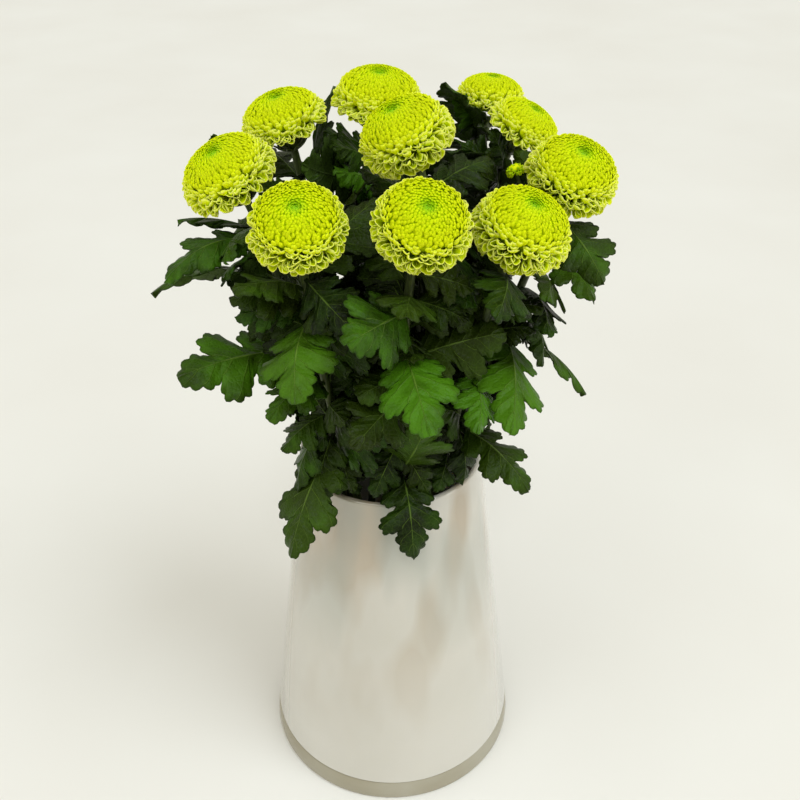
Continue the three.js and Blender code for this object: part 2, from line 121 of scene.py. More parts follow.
# The leaves: the solids' outline, then those that show most.
LEAF_OUTLINE = np.array([
    (0, 0.05, 0),
    (0.14, 0.09, 0),
    (0.3, 0.84, 0.06),
    (0.42, 0.5, 0.03),
    (0.56, 1, 0.11),
    (0.72, 0.46, 0.05),
])
LEAF_THICKNESS = 0.8
LEAF_HALF_WIDTH = 0.31
LEAF_FOLD = 0.25
# Stem, height, tip, bow, turn, width against the usual one, how light a green, partly painted light and
# shade.
SHOWN_LEAVES = [
    (1, 392, (-122, -35, 387), 16, -35, 0.75, 0.5),
    (1, 401, (-120, 5, 406), 4, 30, 0.7, 0.4),
    (1, 380, (-86, -50, 397), 8, 0, 0.8, 0.4),
    (1, 372, (-88, -36, 389), 6, 30, 0.9, 0.4),
    (1, 360, (-138, -8, 366), 17, 30, 0.7, 0.4),
    (1, 322, (-120, -45, 332), 8, -45, 1.0, 0.7),
    (8, 368, (-47, -98, 350), 10, -5, 1.15, 1),
    (8, 322, (-64, -85, 331), 10, -20, 0.85, 0.4),
    (8, 284, (-58, -88, 234), 8, 0, 0.8, 0.3),
    (9, 262, (14, -85, 230), 14, 0, 1.05, 0.3),
    (9, 375, (-19, -108, 392), 8, -20, 0.95, 1),
    (9, 350, (21, -116, 343), 10, 10, 0.9, 0.75),
    (9, 335, (8, -85, 349), 8, 0, 0.8, 0.8),
    (9, 318, (-19, -98, 322), 10, -10, 1.0, 0.2),
    (10, 285, (81, -70, 269), 10, 10, 0.85, 0.35),
    (7, 330, (67, -75, 315), 10, 15, 0.8, 1),
    (7, 332, (122, -5, 294), 7, -10, 0.55, 0.3),
    (7, 358, (87, -48, 361), 8, 20, 0.8, 0.6),
    (7, 376, (113, -35, 376), 8, 20, 0.85, 0.7),
    (7, 404, (121, -18, 377), 7, 50, 1.25, 0.25),
    (5, 405, (33, 72, 464), 6, 0, 0.8, 0.5),
    (3, 405, (-48, 12, 436), 8, 60, 0.9, 0.6),
    (3, 385, (-24, 0, 417), 8, 40, 0.8, 0.45),
    (6, 388, (32, 18, 418), 6, 40, 0.8, 0.5),
    (6, 404, (29, 30, 438), 6, 40, 0.75, 0.5),
    (5, 382, (62, 52, 428), 6, 40, 0.8, 0.4),
    (2, 395, (-34, 82, 459), 4, 0, 0.5, 0.4),
    (2, 386, (-101, 31, 446), 4, 0, 0.45, 0.4),
    (10, 390, (53, -95, 399), 8, 10, 0.8, 0.4),
    (7, 368, (84, -50, 384), 8, 0, 0.9, 0.4),
    (7, 350, (88, -30, 330), 8, 0, 0.9, 0.7),
    (10, 325, (48, -78, 317), 8, 0, 0.9, 0.6),
    (8, 300, (-62, -60, 291), 6, 0, 1.1, 0.45),
    (1, 404, (-85, -48, 406), 6, 0, 0.75, 0.4),
    (8, 370, (-83, -50, 374), 6, 0, 0.75, 0.4),
]
# Leaves close under the blooms, then small ones over the rim and in the vase's mouth, written the same way.
UPPER_LEAVES = [
    (6, 415, (42, 48, 434), 4, -90, 1.0, 0.45),
    (6, 405, (50, 30, 424), 4, -80, 1.0, 0.35),
    (6, 396, (74, 24, 424), 4, -60, 1.0, 0.4),
    (5, 420, (38, 84, 450), 5, -90, 0.9, 0.5),
    (5, 405, (72, 66, 424), 4, -80, 0.9, 0.3),
    (7, 400, (62, 22, 419), 3, -70, 1.0, 0.35),
    (7, 414, (72, 40, 434), 3, -90, 1.0, 0.4),
    (6, 412, (59, 50, 443), 4, -90, 1.0, 0.45),
    (7, 410, (80, 42, 431), 4, -90, 1.0, 0.3),
    (6, 406, (79, 40, 422), 4, -70, 1.0, 0.5),
    (3, 424, (-38, 46, 443), 3, -90, 0.95, 0.4),
    (3, 416, (-32, 30, 440), 4, -90, 0.95, 0.6),
    (3, 404, (-30, 20, 428), 4, -80, 0.9, 0.75),
    (4, 412, (-16, 14, 432), 4, -60, 0.8, 0.45),
]
# The small leaves in the vase's mouth carry the least light greens: painted shade there.
THROAT_LEAVES = [
    (8, 300, (-55, -60, 262), 6, 20, 0.9, 0.35),
    (8, 290, (-44, -64, 250), 8, -10, 1.0, 0.3),
    (8, 276, (-22, -56, 257), 4, 0, 0.9, 0.15),
    (9, 288, (-10, -62, 258), 6, 0, 0.9, 0.2),
    (9, 280, (24, -58, 256), 6, 10, 0.8, 0.15),
    (10, 288, (44, -48, 256), 6, 0, 0.9, 0.2),
    (10, 302, (60, -26, 264), 4, 0, 0.9, 0.25),
    (7, 286, (62, -12, 266), 5, 0, 0.8, 0.2),
    (1, 292, (-60, -18, 266), 5, 0, 0.85, 0.25),
    (4, 292, (14, -30, 268), 4, 0, 0.9, 0.1),
    (4, 284, (-16, -24, 262), 4, 0, 0.9, 0.1),
    (6, 284, (46, 2, 264), 4, 0, 0.9, 0.1),
    (2, 286, (-38, 2, 266), 4, 0, 0.9, 0.1),
    (3, 288, (-4, 14, 268), 4, 0, 0.9, 0.1),
    (5, 284, (24, 16, 266), 4, 0, 0.9, 0.1),
    (4, 272, (34, -18, 262), 3, 0, 0.8, 0.1),
    (10, 270, (10, -46, 256), 4, 0, 0.8, 0.1),
    (8, 268, (-40, -44, 256), 3, 0, 0.8, 0.1),
    (8, 266, (-20, -53, 253), 3, 10, 1.0, 0.1),
    (9, 266, (-4, -56, 253), 3, 0, 0.9, 0.15),
    (10, 268, (28, -51, 253), 3, 0, 1.0, 0.15),
    (10, 272, (47, -36, 254), 3, 0, 1.0, 0.15),
    (7, 272, (58, -6, 258), 3, 0, 0.9, 0.1),
]
# Leaves grown in the gaps carry low greens, painted shade inside the bouquet, lower still for the smaller
# undergrowth.
FILL = {
    "lowest": 264, "step": 13, "stagger": 5, "below_bloom": 38,
    "length": 60, "bow": 8, "wide": 1.1, "tone_and_painted_light": 0.3,
    "leaf_clearance": 7, "stem_clearance": 7, "vase_clearance": 4, "grade": "fine",
}
UNDERGROWTH = [
    FILL | {"lowest": 262, "step": 9, "length": 46, "below_bloom": 30, "bow": 6, "leaf_clearance": 4.5,
            "stem_clearance": 5, "tone_and_painted_light": 0.15, "grade": "plain"},
    FILL | {"lowest": 256, "step": 8, "length": 34, "below_bloom": 20, "bow": 4, "leaf_clearance": 3.5,
            "stem_clearance": 4.5, "vase_clearance": 2, "tone_and_painted_light": 0.1, "grade": "plain"},
]
FILL_TURNS = (0, 25, -25, 50, -50, 75, -75, 100, -100, 125, -125, 150, -150)
FILL_RISES = (18, -15, 42, -42, 62)
SPREAD = {"least": 52, "height": 300, "there": 66, "slope": 0.42}
BLOOM_CLEARANCE = 3
BLADE_SAMPLES = np.array([-1, -0.5, 0, 0.5, 1])
STEM_SAMPLES = 60


def unit(v):
    return v / np.linalg.norm(v)


def polar(degrees, radius, height):
    a = math.radians(degrees)
    return np.array([radius * math.cos(a), radius * math.sin(a), height])


def turned_about(v, axis, degrees):
    a = math.radians(degrees)
    return v * math.cos(a) + np.cross(axis, v) * math.sin(a) + axis * np.dot(axis, v) * (1 - math.cos(a))


def bloom_axis(flower):
    right, back = flower["lean"]
    return unit(np.array([math.tan(math.radians(right)), math.tan(math.radians(back)), 1]))


def stem_curve(flower):
    """The four control points of the stem's line, from the vase's floor to the bloom's underside."""
    axis = bloom_axis(flower)
    throat = flower["throat"]
    if throat is None:
        foot = np.array([*MIDDLE_FOOT, FOOT_HEIGHT])
        through = np.array([*MIDDLE_THROAT, VASE_HEIGHT])
    else:
        foot = polar(throat + FOOT_TURN, FOOT_RING, FOOT_HEIGHT)
        through = polar(throat, THROAT_RING, VASE_HEIGHT)
    top = np.array(flower["at"], float) - axis * (UNDERSIDE * flower["width"] / 2 + FIT_GAP)
    neck = top - axis * NECK
    low = (8 * through - foot - 3 * neck - top) / 3
    return np.array([foot, low, neck, top])


def on_cubic(curve, t):
    t = np.asarray(t, float)[..., None]
    shares = ((1 - t) ** 3, 3 * (1 - t) ** 2 * t, 3 * (1 - t) * t * t, t**3)
    return sum(share * point for share, point in zip(shares, curve))


def at_height(curve, height):
    low, high = 0.0, 1.0
    for _ in range(HEIGHT_SEARCHES):
        middle = (low + high) / 2
        if on_cubic(curve, middle)[2] < height:
            low = middle
        else:
            high = middle
    return on_cubic(curve, low)


def midrib_of(leaf):
    """The midrib's three control points and the direction across the blade."""
    chord = unit(leaf["tip"] - leaf["root"])
    outward = leaf["root"] + leaf["tip"]
    outward = unit(np.array([outward[0], outward[1], 0])) + UP
    up = unit(outward - chord * np.dot(outward, chord))
    up = turned_about(up, chord, leaf["turn"])
    middle = (leaf["root"] + leaf["tip"]) / 2 + up * 2 * leaf["bow"]
    return (leaf["root"], middle, leaf["tip"]), np.cross(chord, up)


def on_quadratic(points, t):
    a, b, c = points
    t = np.asarray(t, float)[..., None]
    return (1 - t) ** 2 * a + 2 * (1 - t) * t * b + t * t * c


def leaf_surface(leaf, rows, shares):
    """The blade's middle surface and its up directions, from rows of (along, half width, forward)."""
    midrib, side = midrib_of(leaf)
    length = np.linalg.norm(leaf["tip"] - leaf["root"])
    half_width = length * LEAF_HALF_WIDTH * leaf["wide"]
    along, half, forward = rows.T
    step = 1e-4
    after, before = np.minimum(along + step, 1), np.maximum(along - step, 0)
    tangent = on_quadratic(midrib, after) - on_quadratic(midrib, before)
    tangent /= np.linalg.norm(tangent, axis=1)[:, None]
    up = np.cross(side, tangent)
    across = (half * half_width)[:, None, None] * shares[None, :, None]
    ahead = (forward * length)[:, None, None] * np.abs(shares)[None, :, None]
    points = on_quadratic(midrib, along)[:, None, :] + across * side + ahead * tangent[:, None, :]
    return points - np.abs(across) * LEAF_FOLD * up[:, None, :], up


def leaf_samples(leaf):
    rows, _ = leaf_surface(leaf, LEAF_OUTLINE[1:], BLADE_SAMPLES)
    rows = np.concatenate([rows, np.broadcast_to(leaf["tip"], (1, len(BLADE_SAMPLES), 3))])
    after = np.concatenate([rows[1:], rows[-1:]])
    return np.concatenate([rows, (rows + after) / 2], axis=1).reshape(-1, 3)


def is_near(points, others, distance):
    beside = (others > points.min(axis=0) - distance) & (others < points.max(axis=0) + distance)
    others = others[beside.all(axis=1)]
    gaps = ((points[:, None, :] - others[None, :, :]) ** 2).sum(axis=2)
    return bool((gaps < distance**2).any())


def is_in_bloom(points, clearance):
    centres = np.array([flower["at"] for flower in FLOWERS], float)
    radii = np.array([flower["width"] / 2 for flower in FLOWERS])
    gaps = np.linalg.norm(points[:, None, :] - centres[None, :, :], axis=2)
    return bool((gaps < radii + clearance).any())


def vase_radius(height):
    return FOOT_RADIUS + (RIM_RADIUS - FOOT_RADIUS) * height / VASE_HEIGHT


def is_in_vase(points, clearance):
    outside = np.hypot(points[:, 0], points[:, 1]) - vase_radius(np.minimum(points[:, 2], VASE_HEIGHT))
    return bool(((points[:, 2] < VASE_HEIGHT + clearance) & (outside < clearance)).any())


def is_beyond_spread(point):
    limit = max(SPREAD["least"], SPREAD["there"] + SPREAD["slope"] * (point[2] - SPREAD["height"]))
    return math.hypot(point[0], point[1]) > limit


def is_free(samples, own, others, taken, rule):
    past_petiole = samples[2 * len(BLADE_SAMPLES):]
    return not (
        is_in_vase(samples, rule["vase_clearance"])
        or is_in_bloom(samples, BLOOM_CLEARANCE)
        or is_near(samples, others, rule["stem_clearance"])
        or is_near(past_petiole, own, rule["stem_clearance"])
        or is_near(samples, taken, rule["leaf_clearance"]))


def grow_by(rule, curves, stems, taken):
    """Leaves at even steps up each stem, a golden angle apart; returns them and all the places now taken."""
    grown = []
    for own, curve in enumerate(curves):
        others = np.concatenate([stem for i, stem in enumerate(stems) if i != own])
        throat = FLOWERS[own]["throat"] or 0
        first = rule["lowest"] + own * rule["stagger"] % rule["step"]
        steps = math.ceil((FLOWERS[own]["at"][2] - rule["below_bloom"] - first) / rule["step"])
        for turns in range(max(steps, 0)):
            root = at_height(curve, first + turns * rule["step"])
            for turn, rise in ((turn, rise) for turn in FILL_TURNS for rise in FILL_RISES):
                reach = rule["length"] * math.cos(math.radians(rise))
                climb = rule["length"] * math.sin(math.radians(rise))
                tip = root + polar(throat + turns * GOLDEN_ANGLE + turn, reach, climb)
                if is_beyond_spread(tip):
                    continue
                leaf = rule | {"stem": own + 1, "root": root, "tip": tip, "turn": 0}
                samples = leaf_samples(leaf)
                if is_free(samples, stems[own], others, taken, rule):
                    grown.append(leaf)
                    taken = np.concatenate([taken, samples])
                    break
    return grown, taken


def placed_leaves(rows, curves, grade):
    leaves = []
    for stem, height, tip, bow, turn, wide, tone_and_painted_light in rows:
        leaf = {"stem": stem, "root": at_height(curves[stem - 1], height), "tip": np.array(tip, float)}
        leaves.append(leaf | {"bow": bow, "turn": turn, "wide": wide, "tone_and_painted_light": tone_and_painted_light, "grade": grade})
    return leaves


def grow_leaves(curves):
    """The solids' leaves, by the same rule, then smaller ones in the gaps between them."""
    stems = [on_cubic(curve, np.linspace(0, 1, STEM_SAMPLES + 1)) for curve in curves]
    stems = [points[points[:, 2] > VASE_HEIGHT] for points in stems]
    leaves = placed_leaves(SHOWN_LEAVES, curves, "fine")
    taken = np.concatenate([leaf_samples(leaf) for leaf in leaves])
    grown, taken = grow_by(FILL, curves, stems, taken)
    added = placed_leaves(UPPER_LEAVES, curves, "fine") + placed_leaves(THROAT_LEAVES, curves, "plain")
    taken = np.concatenate([taken, *[leaf_samples(leaf) for leaf in added]])
    leaves += grown + added
    for rule in UNDERGROWTH:
        grown, taken = grow_by(rule, curves, stems, taken)
        leaves += grown
    return leaves


# Meshes.

def grid_faces(rows, columns, start=0, flip=False):
    """Quads of a grid whose points run row by row."""
    a = (np.arange(rows - 1)[:, None] * columns + np.arange(columns - 1)[None, :]).ravel() + start
    quads = np.stack([a, a + 1, a + columns + 1, a + columns], axis=1)
    return quads[:, ::-1] if flip else quads


def border_of(rows, columns):
    """The numbers of a grid's outermost points, in order round it."""
    grid = np.arange(rows * columns).reshape(rows, columns)
    return np.concatenate([grid[0, :-1], grid[:-1, -1], grid[-1, :0:-1], grid[:0:-1, 0]])


def thick_grid(rows, columns):
    """Faces of a sheet with an upper and a lower skin, whose points run on, and a rim between them."""
    count = rows * columns
    upper = grid_faces(rows, columns)
    lower = grid_faces(rows, columns, count, flip=True)
    border = border_of(rows, columns)
    after = np.roll(border, -1)
    rim = np.stack([after, border, border + count, after + count], axis=1)
    return upper, lower, rim


def round_faces(rings, sides, flip=False):
    """Faces of a round body whose rings of points run on, followed by the points at its start and its end."""
    i = np.arange(sides)
    i, j = (np.roll(i, -1), i) if flip else (i, np.roll(i, -1))
    last = (rings - 1) * sides
    start, end = np.full(sides, rings * sides), np.full(sides, rings * sides + 1)
    band = np.stack([i, j, j + sides, i + sides], axis=1)
    start_cap = np.stack([start, j, i, i], axis=1)
    end_cap = np.stack([end, last + i, last + j, last + j], axis=1)
    return np.concatenate([repeated(band, rings - 1, sides), start_cap, end_cap])


def repeated(faces, count, stride):
    """The same faces for each of several copies whose points follow each other."""
    return (faces[None, :, :] + (np.arange(count) * stride)[:, None, None]).reshape(-1, faces.shape[1])


def join(parts):
    """Several meshes as one: each is its points, its faces and perhaps its colours."""
    starts = np.cumsum([0] + [len(part[0]) for part in parts])
    faces = np.concatenate([part[1] + start for part, start in zip(parts, starts)])
    rest = [np.concatenate(layer) for layer in list(zip(*parts))[2:]]
    return (np.concatenate([part[0] for part in parts]), faces, *rest)


def in_scene(name, data):
    thing = bpy.data.objects.new(name, data)
    bpy.context.scene.collection.objects.link(thing)
    return thing


def add_piece(name, points, faces, materials, face_material=None, colour=None, uv=None, cad=None, slot=None):
    """A smooth mesh of points in millimetres, which rides on the part and may stand for one of its solids."""
    mesh = bpy.data.meshes.new(name)
    faces = [face[:3] if face[2] == face[3] else face for face in faces.tolist()]
    mesh.from_pydata((points * MM).tolist(), [], faces)
    for material in materials:
        mesh.materials.append(material)
    if face_material is not None:
        mesh.polygons.foreach_set("material_index", face_material.astype(np.int32))
    mesh.polygons.foreach_set("use_smooth", np.ones(len(mesh.polygons), bool))
    if colour is not None:
        layer = mesh.color_attributes.new("growth_and_painted_light", "FLOAT_COLOR", "POINT")
        rgba = np.concatenate([colour, np.ones((len(colour), 1))], axis=1)
        layer.data.foreach_set("color", rgba.astype(np.float32).ravel())
    if uv is not None:
        loops = np.empty(len(mesh.loops), np.int32)
        mesh.loops.foreach_get("vertex_index", loops)
        mesh.uv_layers.new(name="blade").data.foreach_set("uv", uv[loops].astype(np.float32).ravel())
    mesh.update()
    piece = in_scene(name, mesh)
    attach(piece, "root")
    if cad:
        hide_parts(cad)
    return piece


# Materials.

class Nodes:
    """A short way to write a material's nodes."""

    def __init__(self, name):
        self.material = bpy.data.materials.new(name)
        self.material.use_nodes = True
        self.tree = self.material.node_tree
        self.shader = self.tree.nodes["Principled BSDF"]

    def put(self, socket, value):
        if isinstance(value, bpy.types.NodeSocket):
            self.tree.links.new(value, socket)
        elif hasattr(value, "__len__") and len(value) == 3 and len(socket.default_value) == 4:
            socket.default_value = (*value, 1)
        else:
            socket.default_value = value

    def add(self, kind, out=0, settings=None, **inputs):
        node = self.tree.nodes.new(kind)
        for key, value in (settings or {}).items():
            setattr(node, key, value)
        for key, value in inputs.items():
            self.put(node.inputs[int(key[1:]) if key[1:].isdigit() else key.replace("_", " ")], value)
        return node.outputs[out]

    def math(self, operation, a, b=0.0, c=0.0, clamp=False):
        settings = {"operation": operation, "use_clamp": clamp}
        return self.add("ShaderNodeMath", settings=settings, i0=a, i1=b, i2=c)

    def place(self):
        return self.add("ShaderNodeTexCoord", out="Object")

    def noise(self, scale, detail=3.0, roughness=0.5, vector=None):
        vector = vector or self.place()
        return self.add("ShaderNodeTexNoise", Vector=vector, Scale=scale, Detail=detail, Roughness=roughness)

    def ramp(self, value, *stops):
        node = self.tree.nodes.new("ShaderNodeValToRGB")
        self.put(node.inputs[0], value)
        elements = node.color_ramp.elements
        while len(elements) < len(stops):
            elements.new(0.5)
        for element, (position, colour) in zip(elements, stops):
            element.position = position
            element.color = (*srgb(*colour), 1)
        return node.outputs[0]

    def range(self, value, low, high, to_low, to_high):
        return self.add("ShaderNodeMapRange", i0=value, i1=low, i2=high, i3=to_low, i4=to_high)

    def spread(self, noise, low=0, high=1):
        """A noise's usual span, made to run from low to high."""
        return self.range(noise, 0.3, 0.7, low, high)

    def mix(self, share, a, b):
        node = self.tree.nodes.new("ShaderNodeMix")
        node.data_type = "RGBA"
        self.put(node.inputs[0], share)
        self.put(node.inputs[6], a)
        self.put(node.inputs[7], b)
        return node.outputs[2]

    def bump(self, height, strength, distance):
        return self.add("ShaderNodeBump", Strength=strength, Distance=distance, Height=height)

    def shade(self, **values):
        for key, value in values.items():
            self.put(self.shader.inputs[key.replace("_", " ")], value)
        return self.material


def srgb(red, green, blue):
    """A colour as read on screen, made linear."""
    shares = (red / 255, green / 255, blue / 255)
    return tuple(c / 12.92 if c <= 0.04045 else ((c + 0.055) / 1.055) ** 2.4 for c in shares)


def growth_and_painted_light_of(n):
    """The three parts of the colour each point carries: on florets its painted light, its place on the bloom
    and a chance; on leaves how light a green it is, partly painted light and shade, and a shift.
    """
    growth_and_painted_light = n.add("ShaderNodeAttribute", settings={"attribute_name": "growth_and_painted_light"})
    return n.add("ShaderNodeSeparateColor", i0=growth_and_painted_light).node.outputs


def petal_material():
    n = Nodes("petal")
    light, crown, chance = growth_and_painted_light_of(n)[:3]
    # The first part is painted light: the first ramp is the florets' colour where light reaches them, the
    # second the painted shade deep in their hollows, most on the lower florets.
    lit_colour = n.ramp(
        crown, (0, (140, 212, 30)), (0.06, (176, 230, 16)), (0.14, (230, 255, 0)),
        (0.5, (240, 255, 0)), (0.66, (216, 236, 0)), (1, (196, 214, 4)))
    shaded_colour = n.ramp(
        crown, (0, (124, 198, 24)), (0.14, (222, 252, 0)), (0.42, (226, 250, 0)),
        (0.56, (116, 138, 0)), (1, (66, 80, 2)))
    colour = n.mix(n.range(light, 0.05, 0.7, 0, 1), shaded_colour, lit_colour)
    # The pale rims of the lower florets come from the painted light: partly their own paler colour, partly
    # painted highlight.
    rim = n.math("MULTIPLY", n.range(light, 0.84, 1.0, 0, 1), n.range(crown, 0.42, 0.56, 0, 0.85))
    colour = n.mix(rim, colour, srgb(252, 255, 128))
    colour = n.mix(n.math("MULTIPLY", chance, 0.14), colour, srgb(250, 255, 30))
    streaks = n.noise(700.0, 2.0)
    colour = n.mix(n.range(streaks, 0.35, 0.75, 0, 0.1), colour, srgb(190, 214, 0))
    return n.shade(
        Base_Color=colour, Roughness=n.spread(streaks, 0.5, 0.68),
        Normal=n.bump(streaks, 0.15, 0.0003), Specular_IOR_Level=0.08,
        Subsurface_Weight=0.5, Subsurface_Radius=(0.003, 0.003, 0.0008), Subsurface_Scale=0.8)


def leaf_material(name, deep, middle, lit_green, vein, roughness):
    n = Nodes(name)
    uv = n.add("ShaderNodeUVMap", settings={"uv_map": "blade"})
    along, across = n.add("ShaderNodeSeparateXYZ", i0=uv).node.outputs[:2]
    across = n.math("ABSOLUTE", across)
    # The first part is how light a green the leaf is, partly its own green, partly painted light and shade;
    # noise then varies it at random.
    tone_and_painted_light, shift = growth_and_painted_light_of(n)[:2]
    mottle = n.noise(48.0, 4.0, 0.6)
    patches = n.noise(22.0, 1.0)
    tone_and_painted_light = n.math("ADD", tone_and_painted_light, n.spread(mottle, -0.26, 0.26))
    tone_and_painted_light = n.math("ADD", tone_and_painted_light, n.range(patches, 0.35, 0.65, -0.24, 0.16))
    colour = n.ramp(tone_and_painted_light, (0, deep), (0.45, middle), (1, lit_green))
    colour = n.mix(n.range(shift, 0, 1, 0, 0.25), colour, srgb(74, 92, 16))
    # side veins run forward from the midrib to the lobes
    order = n.math("SUBTRACT", along, n.math("MULTIPLY", across, 0.11))
    nearest = n.math("PINGPONG", n.math("ADD", n.math("DIVIDE", order, 0.13), 0.46), 0.5)
    side_vein = n.range(n.math("DIVIDE", nearest, n.range(across, 0, 1, 0.06, 0.02)), 0.2, 1.0, 1, 0)
    midrib = n.range(n.math("DIVIDE", across, n.range(along, 0.1, 1, 0.06, 0.02)), 0.3, 1.0, 1, 0)
    veins = n.math("MAXIMUM", midrib, n.math("MULTIPLY", side_vein, 0.6), clamp=True)
    net = n.add("ShaderNodeTexVoronoi", settings={"feature": "DISTANCE_TO_EDGE"}, Vector=n.place(), Scale=380)
    colour = n.mix(n.math("MULTIPLY", veins, 0.42), colour, srgb(*vein))
    colour = n.mix(n.range(net, 0, 0.06, 0.08, 0), colour, srgb(*vein))
    colour = n.mix(n.range(across, 0.9, 1.0, 0, 0.35), colour, srgb(*deep))
    between = n.math("MULTIPLY", nearest, n.range(across, 0, 0.25, 0, 2.4))
    grain = n.math("MULTIPLY", n.range(net, 0, 0.25, 0, 1), 0.25)
    height = n.math("ADD", n.math("SUBTRACT", between, veins), grain)
    return n.shade(
        Base_Color=colour, Roughness=n.spread(mottle, roughness - 0.06, roughness + 0.1),
        Normal=n.bump(height, 0.8, 0.0008), Specular_IOR_Level=0.12)


def stem_material():
    n = Nodes("stem")
    mottle = n.noise(40.0, 4.0, 0.6)
    upright = n.add("ShaderNodeMapping", Vector=n.place(), Scale=(900.0, 900.0, 25.0))
    fibres = n.noise(1.0, 2.0, vector=upright)
    colour = n.mix(n.range(mottle, 0.35, 0.7, 0, 1), srgb(36, 46, 14), srgb(74, 90, 32))
    colour = n.mix(n.range(fibres, 0.4, 0.7, 0, 0.4), colour, srgb(116, 130, 62))
    roughness = n.spread(mottle, 0.45, 0.62)
    return n.shade(Base_Color=colour, Roughness=roughness, Normal=n.bump(fibres, 0.4, 0.0003))


def white_glass_material():
    """Milky glass with faint upright green and brown smears, most near the rim: painted reflection and shadow
    of the leaves.
    """
    n = Nodes("white_glass")
    place = n.place()
    height = n.add("ShaderNodeSeparateXYZ", out=2, i0=place)
    cloud = n.noise(9.0, 3.0)
    stretched = n.add("ShaderNodeMapping", Vector=place, Scale=(1.0, 1.0, 0.22))
    moved = n.add("ShaderNodeMapping", Vector=place, Location=(0.7, 0.3, 0.0), Scale=(1.0, 1.0, 0.3))
    # painted reflection and shadow of the leaves: green and brown smears, strongest towards the rim
    green = n.range(n.noise(26.0, 2.0, 0.4, stretched), 0.46, 0.6, 0, 1)
    green = n.math("MULTIPLY", green, n.range(height, 0.12, 0.24, 0, 0.8))
    brown = n.range(n.noise(30.0, 2.0, 0.4, moved), 0.48, 0.62, 0, 1)
    brown = n.math("MULTIPLY", brown, n.range(height, 0.04, 0.22, 0, 0.7))
    colour = n.mix(n.spread(cloud), srgb(197, 193, 181), srgb(207, 203, 193))
    colour = n.mix(brown, colour, srgb(168, 146, 112))
    colour = n.mix(green, colour, srgb(138, 146, 134))
    return n.shade(
        Base_Color=colour, Roughness=n.spread(n.noise(30.0), 0.07, 0.12),
        Normal=n.bump(n.noise(14.0, 1.0), 0.04, 0.004),
        Subsurface_Weight=0.15, Subsurface_Radius=(0.02, 0.018, 0.014), Subsurface_Scale=0.3,
        Coat_Weight=1.0, Coat_Roughness=0.03, Coat_IOR=2.0, IOR=1.5)


def clear_glass_material():
    n = Nodes("clear_glass")
    cloud = n.noise(20.0)
    colour = n.mix(n.spread(cloud), srgb(204, 195, 168), srgb(220, 214, 192))
    roughness = n.spread(cloud, 0.03, 0.08)
    return n.shade(Base_Color=colour, Roughness=roughness, Transmission_Weight=0.45, IOR=1.5)


def water_material():
    n = Nodes("water")
    ripple = n.noise(30.0)
    colour = n.mix(n.spread(ripple), (0.88, 0.94, 0.9), (0.92, 0.96, 0.94))
    normal = n.bump(ripple, 0.1, 0.001)
    return n.shade(Base_Color=colour, Roughness=0.02, Normal=normal, Transmission_Weight=1.0, IOR=1.33)


# The vase's pieces.

def arc(centre, radius, start, steps):
    angles = np.radians(start + np.linspace(0, 90, steps + 1))
    return [(centre[0] + radius * math.cos(a), centre[1] + radius * math.sin(a)) for a in angles]


def lathe(name, profile, material, **links):
    """A round piece from (radius, height) pairs; the first and last lie on the axis."""
    inner = np.array(profile[1:-1])
    angles = np.linspace(0, 2 * math.pi, VASE_SIDES, endpoint=False)
    rings = np.stack([
        inner[:, None, 0] * np.cos(angles), inner[:, None, 0] * np.sin(angles),
        np.broadcast_to(inner[:, None, 1], (len(inner), VASE_SIDES))], axis=2)
    points = np.concatenate([rings.reshape(-1, 3), [(0, 0, profile[0][1]), (0, 0, profile[-1][1])]])
    piece = add_piece(name, points, round_faces(len(inner), VASE_SIDES), [material], **links)
    piece.data.set_sharp_from_angle(angle=math.radians(SHARP_EDGE))


def build_vase():
    lip = WALL / 2
    lip_centre = (RIM_RADIUS - lip, VASE_HEIGHT - lip)
    bottom = FLOOR + EDGE_ROUNDING
    inner = vase_radius(bottom) - WALL
    body = [
        (0, FOOT_HEIGHT),
        *arc((vase_radius(FOOT_HEIGHT) - LOWER_EDGE, FOOT_HEIGHT + LOWER_EDGE), LOWER_EDGE, -90, ARC_STEPS),
        *arc(lip_centre, lip, 0, LIP_STEPS),
        *arc(lip_centre, lip, 90, LIP_STEPS)[1:],
        (inner, bottom),
        *[(inner - EDGE_ROUNDING + EDGE_ROUNDING * math.cos(a), bottom - EDGE_ROUNDING * math.sin(a))
          for a in np.radians((30, 60, 90))],
        (0, FLOOR),
    ]
    lathe("white_glass_body", body, white_glass_material(), cad="vase_body", slot="white_glass")
    top = FOOT_HEIGHT - FOOT_GAP
    edge = vase_radius(top) + FOOT_REACH
    foot = [
        (0, 0),
        *arc((FOOT_RADIUS - EDGE_ROUNDING, EDGE_ROUNDING), EDGE_ROUNDING, -90, ARC_STEPS),
        (edge, top - FOOT_BEVEL),
        (edge - FOOT_BEVEL, top),
        (0, top),
    ]
    lathe("clear_glass_foot", foot, clear_glass_material(), cad="vase_foot", slot="clear_glass")
    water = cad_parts["water"]
    water.data.materials.clear()
    water.data.materials.append(water_material())


# The blooms.

